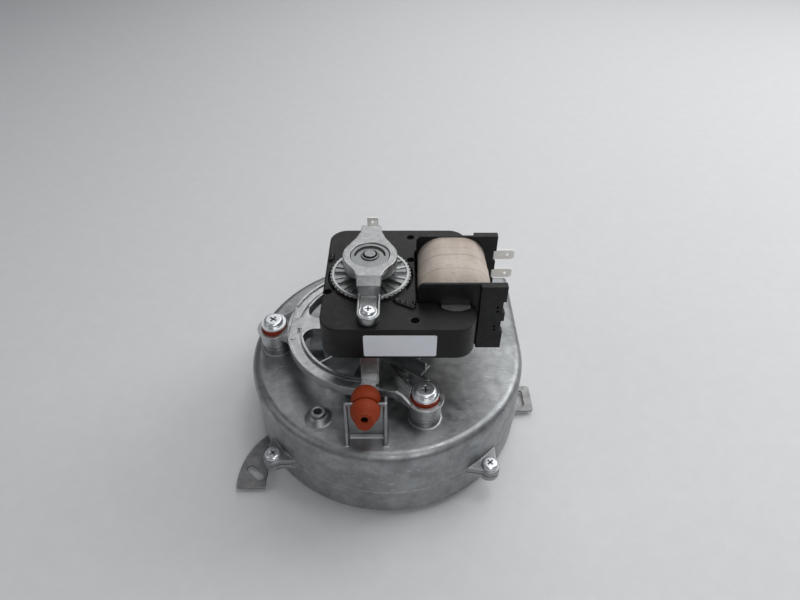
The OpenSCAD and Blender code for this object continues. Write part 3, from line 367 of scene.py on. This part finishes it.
def cad_shape(node):
    """Copy of a CAD node as a bmesh, its loose triangles joined."""
    shape = bmesh.new()
    shape.from_mesh(frame["nodes"][node].data)
    bmesh.ops.remove_doubles(shape, verts=shape.verts, dist=WELD)
    return shape


def finished(node, width):
    """The CAD node with its edges rounded, in place of the bare solid."""
    piece = placed(cad_shape(node), node + "_finished", node)
    if width:
        rounded(piece, width)
    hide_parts(node)


edge_widths = {
    "mounting_plate": 0.25, "plate_rivets": 0.3, "lower_housing": 0.5, "housing_gasket": 0,
    "upper_housing": 0.7, "housing_screws": 0.12, "shaft_seal": 0.3, "impeller_backplate": 0.2,
    "impeller_blades": 0.15, "impeller_ring": 0.2, "impeller_hub": 0.3, "impeller_washer": 0.2,
    "impeller_nut": 0.3, "shaft": 0.3, "motor_bracket": 0.15, "grommets": 0.7,
    "spacer_sleeves": 0.1, "bracket_screws": 0.14, "lower_bearing": 0.3, "lower_bearing_clip": 0.12,
    "rotor_spacer": 0.2, "rotor_core": 0.2, "rotor_end_rings": 0.3, "stator_core": 0.1,
    "shading_rings": 0.2, "motor_casing": 0.5, "bobbin": 0.3, "coil_winding": 0.4,
    "terminal_tabs": 0.1, "cooling_disc": 0.2, "thrust_washer": 0.1, "upper_bearing": 0.3,
    "upper_bearing_clip": 0.12, "shaft_clip": 0.15, "bearing_bridge": 0.5, "bridge_screws": 0.12,
    "earth_tab": 0.1, "pressure_tap": 0.15, "cooling_fan": 0.2,
}
for node, width in edge_widths.items():
    finished(node, width)


# Tape wound round the coil in overlapping bands

def round_cornered(width, height, corner, segments=8):
    """Flat rectangle with round corners, standing upright in the plane y = 0, facing -Y."""
    shape = bmesh.new()
    bmesh.ops.create_grid(shape, x_segments=1, y_segments=1, size=0.5)
    bmesh.ops.scale(shape, verts=shape.verts, vec=(width * MM, height * MM, 1))
    bmesh.ops.bevel(
        shape, geom=shape.verts[:], offset=corner * MM, segments=segments, affect="VERTICES",
        profile=0.5, offset_type="OFFSET", material=-1, clamp_overlap=True,
    )
    bmesh.ops.rotate(shape, verts=shape.verts, matrix=Matrix.Rotation(pi / 2, 3, "X"))
    return shape


def pushed_out(shape, faces, move, grow=(1, 1, 1), centre=(0, 0, 0)):
    """Extrudes faces by a move in millimetres and scales their new ends about a centre."""
    made = bmesh.ops.extrude_face_region(shape, geom=faces)["geom"]
    ends = [part for part in made if isinstance(part, bmesh.types.BMVert)]
    bmesh.ops.translate(shape, verts=ends, vec=Vector(move) * MM)
    about = Matrix.Translation(-Vector(centre))
    bmesh.ops.scale(shape, verts=ends, vec=grow, space=about)
    return [part for part in made if isinstance(part, bmesh.types.BMFace)]


def coil_tape():
    """The tape as a thin tube with a step at each seam and a top that swells by crown."""
    low, high = (Vector(corner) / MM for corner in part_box("coil_tape"))
    size = high - low
    middle = (low + high) / 2
    overlap = 0.4
    crown = 1.2
    band_heights = (-0.45, -0.28, 0, -0.14)
    corner_r = 13.2
    tape_t = 0.35
    inset = 2 * band_heights[0]
    shape = round_cornered(size.x + inset, size.z + inset, corner_r, segments=14)
    top = max(vert.co.z for vert in shape.verts)
    flat = [edge for edge in shape.edges if all(vert.co.z > top - WELD for vert in edge.verts)]
    bmesh.ops.subdivide_edges(shape, edges=flat, cuts=11)
    for vert in shape.verts:
        if vert.co.z > 0:
            away = vert.co.x / MM / (size.x / 2)
            vert.co.z += crown * MM * (1 - away ** 2) * vert.co.z / top
    bmesh.ops.translate(shape, verts=shape.verts, vec=Vector((middle.x, high.y, middle.z)) * MM)
    centre = middle * MM
    front = shape.faces[:]
    here = high.y
    for edge, height, next_height in zip(tape_seams, band_heights, band_heights[1:]):
        front = pushed_out(shape, front, (0, edge - here + overlap, 0))
        ratio = [(size[axis] + 2 * next_height) / (size[axis] + 2 * height) for axis in (0, 2)]
        front = pushed_out(shape, front, (0, -overlap, 0), (ratio[0], 1, ratio[1]), centre)
        here = edge
    pushed_out(shape, front, (0, low.y - here, 0))
    # Both ends of the tube are open
    caps = [face for face in shape.faces if abs(face.normal.y) > 0.9 and len(face.verts) > 8]
    bmesh.ops.delete(shape, geom=caps, context="FACES")
    bmesh.ops.recalc_face_normals(shape, faces=shape.faces)
    piece = placed(shape, "coil_tape_bands", "coil_tape")
    wall = piece.modifiers.new("Tape thickness", "SOLIDIFY")
    wall.thickness = tape_t * MM
    wall.offset = -1
    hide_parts("coil_tape")


coil_tape()


# Bare label with round corners

def rating_label():
    low, high = (Vector(corner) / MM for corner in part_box("rating_label"))
    size = high - low
    middle = (low + high) / 2
    corner_r = 1.1
    shape = round_cornered(size.x, size.z, corner_r)
    bmesh.ops.translate(shape, verts=shape.verts, vec=Vector((middle.x, high.y, middle.z)) * MM)
    pushed_out(shape, shape.faces[:], (0, low.y - high.y, 0))
    bmesh.ops.recalc_face_normals(shape, faces=shape.faces)
    piece = placed(shape, "rating_label_bare", "rating_label")
    rounded(piece, width=0.05)
    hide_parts("rating_label")


rating_label()


# Round ejector marks on the bracket

def stub(shape, place, radius, height):
    """Adds a short upright cylinder whose foot is centred on place, in millimetres."""
    made = bmesh.ops.create_cone(
        shape, cap_ends=True, cap_tris=False, segments=32,
        radius1=radius * MM, radius2=radius * MM, depth=height * MM,
    )["verts"]
    bmesh.ops.translate(shape, verts=made, vec=(Vector(place) + Vector((0, 0, height / 2))) * MM)


mark_foot = 70.8
mark_r = 1.8
mark_h = 0.7
marks = bmesh.new()
for mark_x, mark_y in ((-44.4, 6.5), (-45.0, -10.0)):
    stub(marks, (mark_x, mark_y, mark_foot), mark_r, mark_h)
rounded(placed(marks, "bracket_ejector_marks", "motor_bracket"), width=0.2)


# Drops of resin along the two raised bars of the casing, which are its highest points

def drop(shape, place, size):
    """Adds a flattened ball centred on place, its half sizes in millimetres."""
    made = bmesh.ops.create_icosphere(shape, subdivisions=3, radius=MM)["verts"]
    bmesh.ops.scale(shape, verts=made, vec=size)
    bmesh.ops.translate(shape, verts=made, vec=Vector(place) * MM)


raised_bar_h = 1.2
casing_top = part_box("motor_casing")[1][2] / MM - raised_bar_h
drop_rise = 0.2
drop_half_h = 1.6
# Place and half sizes of each drop, seen from above
drops = (
    (13.8, -20.6, 1.9, 1.2), (16.6, -22.4, 2.1, 1.4), (19.4, -23.6, 1.8, 1.5), (21.8, -25.2, 1.6, 1.2),
    (23.0, -22.6, 1.2, 1.7), (-22.4, 18.4, 1.3, 1.6), (-22.2, 15.6, 1.4, 1.8), (-22.6, 13.2, 1.1, 1.2),
)
resin = bmesh.new()
for drop_x, drop_y, half_l, half_w in drops:
    drop(resin, (drop_x, drop_y, casing_top + drop_rise), (half_l, half_w, drop_half_h))
placed(resin, "casing_resin_drops", "motor_casing", glossy_resin)


# Painted shade: dark floors in the casing's small holes, dark discs for the pin holes in the bobbin's wing,
# a dark floor in the bore of the tap

clear = 0.02
hole_depth = 1.6
hole_r = 1.88
hole_floor_h = 0.7
hole_floor_shades = bmesh.new()
for hole_x, hole_y in ((21.8, 35), (21.7, 13.8), (23.2, -34.9), (-22, -13.2)):
    stub(hole_floor_shades, (hole_x, hole_y, casing_top - hole_depth + clear), hole_r, hole_floor_h)
placed(hole_floor_shades, "casing_hole_floor_shades", "motor_casing", painted_hole_shade)

# The dark discs for the pin holes are laid out on a wing that lies flat, then turned with it to face -Y
wing_front = -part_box("bobbin")[0][1] / MM
pin_hole_r = 0.75
pin_hole_h = 0.3
pin_hole_rise = 0.03
pin_hole_shades = bmesh.new()
for hole_x, hole_z in ((65.8, 106.1), (66.0, 103.3), (65.2, 92.8), (65.4, 90.4)):
    stub(pin_hole_shades, (hole_x, hole_z, wing_front + pin_hole_rise - pin_hole_h), pin_hole_r, pin_hole_h)
bmesh.ops.rotate(pin_hole_shades, verts=pin_hole_shades.verts, matrix=Matrix.Rotation(pi / 2, 3, "X"))
placed(pin_hole_shades, "bobbin_pin_hole_shades", "bobbin", painted_hole_shade)

# The bore's axis faces -Y and rises towards its mouth
tap_mouth = Vector((-1.5, -71.9, 76.35))
bore_r = 1.75
bore_rise = radians(8)
bore_depth = 0.9
bore_floor_h = 3.0
bore_floor_shade = bmesh.new()
stub(bore_floor_shade, (0, 0, -bore_depth - bore_floor_h), bore_r, bore_floor_h)
bmesh.ops.rotate(bore_floor_shade, verts=bore_floor_shade.verts, matrix=Matrix.Rotation(pi / 2 - bore_rise, 3, "X"))
bmesh.ops.translate(bore_floor_shade, verts=bore_floor_shade.verts, vec=tap_mouth * MM)
placed(bore_floor_shade, "tap_bore_floor_shade", "pressure_tap", painted_hole_shade)


# Flange under the head of the front bridge screw

bridge_head_h = 2.7
front_screw_y = -33
flange_r = 4.8
flange_h = 0.8
flange_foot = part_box("bridge_screws")[1][2] / MM - bridge_head_h + clear
screw_flange = bmesh.new()
stub(screw_flange, (0, front_screw_y, flange_foot), flange_r, flange_h)
rounded(placed(screw_flange, "bridge_screw_flange", "bridge_screws"), width=0.3)


# Dark crosses at the bottom of the screws' recesses, painted shade in the slots

def solid_boxes(node):
    """Lowest and highest corner of each separate solid of a CAD node, in millimetres."""
    shape = cad_shape(node)
    boxes = []
    for start in shape.verts:
        if start.tag:
            continue
        start.tag = True
        reached = [start]
        for vert in reached:
            for near in (edge.other_vert(vert) for edge in vert.link_edges):
                if not near.tag:
                    near.tag = True
                    reached.append(near)
        axes = list(zip(*(vert.co / MM for vert in reached)))
        boxes.append((Vector(map(min, axes)), Vector(map(max, axes))))
    shape.free()
    return boxes


def cross(shape, place, length, width, height, turn):
    """Adds an upright cross of two bars whose foot is centred on place, in millimetres."""
    made = bmesh.ops.create_grid(shape, x_segments=3, y_segments=3, size=MM)["verts"]
    for vert in made:
        for axis in (0, 1):
            half = (length if abs(vert.co[axis]) > 0.5 * MM else width) / 2
            vert.co[axis] = half * MM if vert.co[axis] > 0 else -half * MM
    corners = [vert for vert in made if min(abs(vert.co.x), abs(vert.co.y)) > (width / 2 + 0.01) * MM]
    bmesh.ops.delete(shape, geom=corners, context="VERTS")
    made = [vert for vert in made if vert.is_valid]
    bmesh.ops.rotate(shape, verts=made, matrix=Matrix.Rotation(turn, 3, "Z"))
    bmesh.ops.translate(shape, verts=made, vec=Vector(place) * MM)
    faces = list({face for vert in made for face in vert.link_faces})
    pushed_out(shape, faces, (0, 0, height))


# Head radius, head height, turn of the cross and the centre round which the screws are set
screw_heads = {
    "bracket_screws": (5.62, 2.4, radians(60), (0, 0)),
    "bridge_screws": (3.9, bridge_head_h, radians(90), (0, 0)),
    "housing_screws": (4.6, 2.7, 0, (8.3, 3.6)),
}
# Sizes of a recess as shares of the head's radius and height
slot_length = 0.84
slot_width = 0.16
slot_depth = 0.7
cross_height = 0.3
slot_clear = 0.04
for node, (head_r, head_h, turn, ring_centre) in screw_heads.items():
    recess_shade = bmesh.new()
    for low, high in solid_boxes(node):
        middle = (low + high) / 2
        heading = atan2(middle.y - ring_centre[1], middle.x - ring_centre[0])
        foot = (middle.x, middle.y, high.z - slot_depth * head_h + slot_clear)
        cross_l = slot_length * head_r - slot_clear
        cross_w = slot_width * head_r - slot_clear
        cross(recess_shade, foot, cross_l, cross_w, cross_height * head_h, heading + turn)
    bmesh.ops.recalc_face_normals(recess_shade, faces=recess_shade.faces)
    rounded(placed(recess_shade, node + "_recess_shade", node, dark_recess), width=0.03)


# Ribs and raised rim of the stamped cooling disc, lighter than the disc as a painted highlight

def bar(shape, size, place, lean, turn):
    """Adds a bar that leans about its length, stands on place and is then turned about Z."""
    made = bmesh.ops.create_cube(shape, size=MM)["verts"]
    bmesh.ops.scale(shape, verts=made, vec=size)
    bmesh.ops.translate(shape, verts=made, vec=(0, 0, size[2] / 2 * MM))
    bmesh.ops.rotate(shape, verts=made, matrix=Matrix.Rotation(lean, 3, "X"))
    bmesh.ops.translate(shape, verts=made, vec=Vector(place) * MM)
    bmesh.ops.rotate(shape, verts=made, matrix=Matrix.Rotation(turn, 3, "Z"))


def ring(shape, section, place, steps=96):
    """Adds a ring round the motor's axis, its section a rectangle centred on (radius, height)."""
    made = bmesh.ops.create_grid(shape, x_segments=1, y_segments=1, size=0.5 * MM)["verts"]
    bmesh.ops.scale(shape, verts=made, vec=(section[0], section[1], 1))
    bmesh.ops.rotate(shape, verts=made, matrix=Matrix.Rotation(pi / 2, 3, "X"))
    bmesh.ops.translate(shape, verts=made, vec=Vector((place[0], 0, place[1])) * MM)
    bmesh.ops.delete(shape, geom=made[0].link_faces[:], context="FACES_ONLY")
    edges = list({edge for vert in made for edge in vert.link_edges})
    bmesh.ops.spin(
        shape, geom=made + edges, axis=(0, 0, 1), cent=(0, 0, 0), angle=2 * pi, steps=steps, use_merge=True,
    )


disc_top = 109.9
rib_count = 12
rib_size = (6.4, 1.1, 0.7)
rib_place = (16.4, 0, disc_top - 0.1)
rib_lean = radians(12)
rim_section = (1.5, 0.7)
rim_place = (20.1, disc_top + 0.25)
relief = bmesh.new()
for step in range(rib_count):
    bar(relief, rib_size, rib_place, rib_lean, 2 * pi * (step + 0.5) / rib_count)
ring(relief, rim_section, rim_place)
bmesh.ops.recalc_face_normals(relief, faces=relief.faces)
rounded(placed(relief, "cooling_disc_relief", "cooling_disc", highlit_disc_relief), width=0.25)


# Dark ring round the shaft clip and a dark floor in the window of the upper bearing's clip

shaft_clip_t = 0.7
clip_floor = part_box("shaft_clip")[1][2] / MM - shaft_clip_t
dark_ring_section = (0.7, 0.1)
dark_ring_place = (3.45, clip_floor + 0.07)
clip_dark_ring = bmesh.new()
ring(clip_dark_ring, dark_ring_section, dark_ring_place, steps=48)
bmesh.ops.recalc_face_normals(clip_dark_ring, faces=clip_dark_ring.faces)
placed(clip_dark_ring, "shaft_clip_dark_ring", "shaft_clip", dark_recess)

clip_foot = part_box("upper_bearing_clip")[0][2] / MM
window_section = (3.2, 0.3)
window_place = (7.0, clip_foot + 0.25)
window_floor = bmesh.new()
ring(window_floor, window_section, window_place)
bmesh.ops.recalc_face_normals(window_floor, faces=window_floor.faces)
placed(window_floor, "bearing_clip_window_dark", "upper_bearing_clip", dark_recess)


# Floor, light and camera

floor_z = cad_box[0][2]
floor_half = 4
floor_shape = bmesh.new()
bmesh.ops.create_grid(floor_shape, x_segments=1, y_segments=1, size=floor_half)
bmesh.ops.translate(floor_shape, verts=floor_shape.verts, vec=(0, 0, floor_z))
floor_mesh = bpy.data.meshes.new("floor")
floor_shape.to_mesh(floor_mesh)
floor_shape.free()
floor = bpy.data.objects.new("floor", floor_mesh)
bpy.context.scene.collection.objects.link(floor)
floor_mesh.materials.append(moulded("pale floor", (0.70, 0.705, 0.715), (0.73, 0.735, 0.745), 0.6, grain=60))

world = bpy.data.worlds.new("soft room")
bpy.context.scene.world = world
world.use_nodes = True
room = world.node_tree.nodes["Background"]
room.inputs["Color"].default_value = (0.90, 0.93, 1.0, 1)
room.inputs["Strength"].default_value = 0.16


def soft_light(name, place, target, size, power):
    """Round lamp of a size in metres and a power in watts, turned from its place to a target."""
    lamp = bpy.data.lights.new(name, "AREA")
    lamp.shape = "DISK"
    lamp.size = size
    lamp.energy = power
    holder = bpy.data.objects.new(name, lamp)
    holder.location = place
    holder.rotation_euler = (Vector(target) - Vector(place)).to_track_quat("-Z", "Y").to_euler()
    bpy.context.scene.collection.objects.link(holder)


soft_light("overhead", (0.35, 0.2, 1.0), (0.15, 0, 0), 0.9, 2.0)
soft_light("ceiling lamp", (0.22, 0.02, 1.0), (0.05, 0, 0.05), 0.22, 0.9)
soft_light("behind", (0.2, 0.95, 0.85), (0.1, 0, 0), 1.2, 4.0)
soft_light("right", (1.1, 0.5, 0.8), (0.68, 0.38, 0), 0.8, 6.8)
soft_light("left", (-0.8, -0.2, 0.7), (0, 0, 0.05), 0.5, 0.6)
soft_light("front", (0.2, -0.8, 0.85), (0, 0, 0.08), 0.45, 2.1)
bpy.context.scene.view_settings.view_transform = "Standard"

lens = bpy.data.cameras.new("camera")
lens.sensor_width = 36
lens.lens = 26.96
lens.clip_start = 0.01
camera = bpy.data.objects.new("camera", lens)
camera.location = (0.01574, -0.2495, 0.31275)
camera.rotation_euler = (radians(48.30), 0, 0)
bpy.context.scene.collection.objects.link(camera)
bpy.context.scene.camera = camera
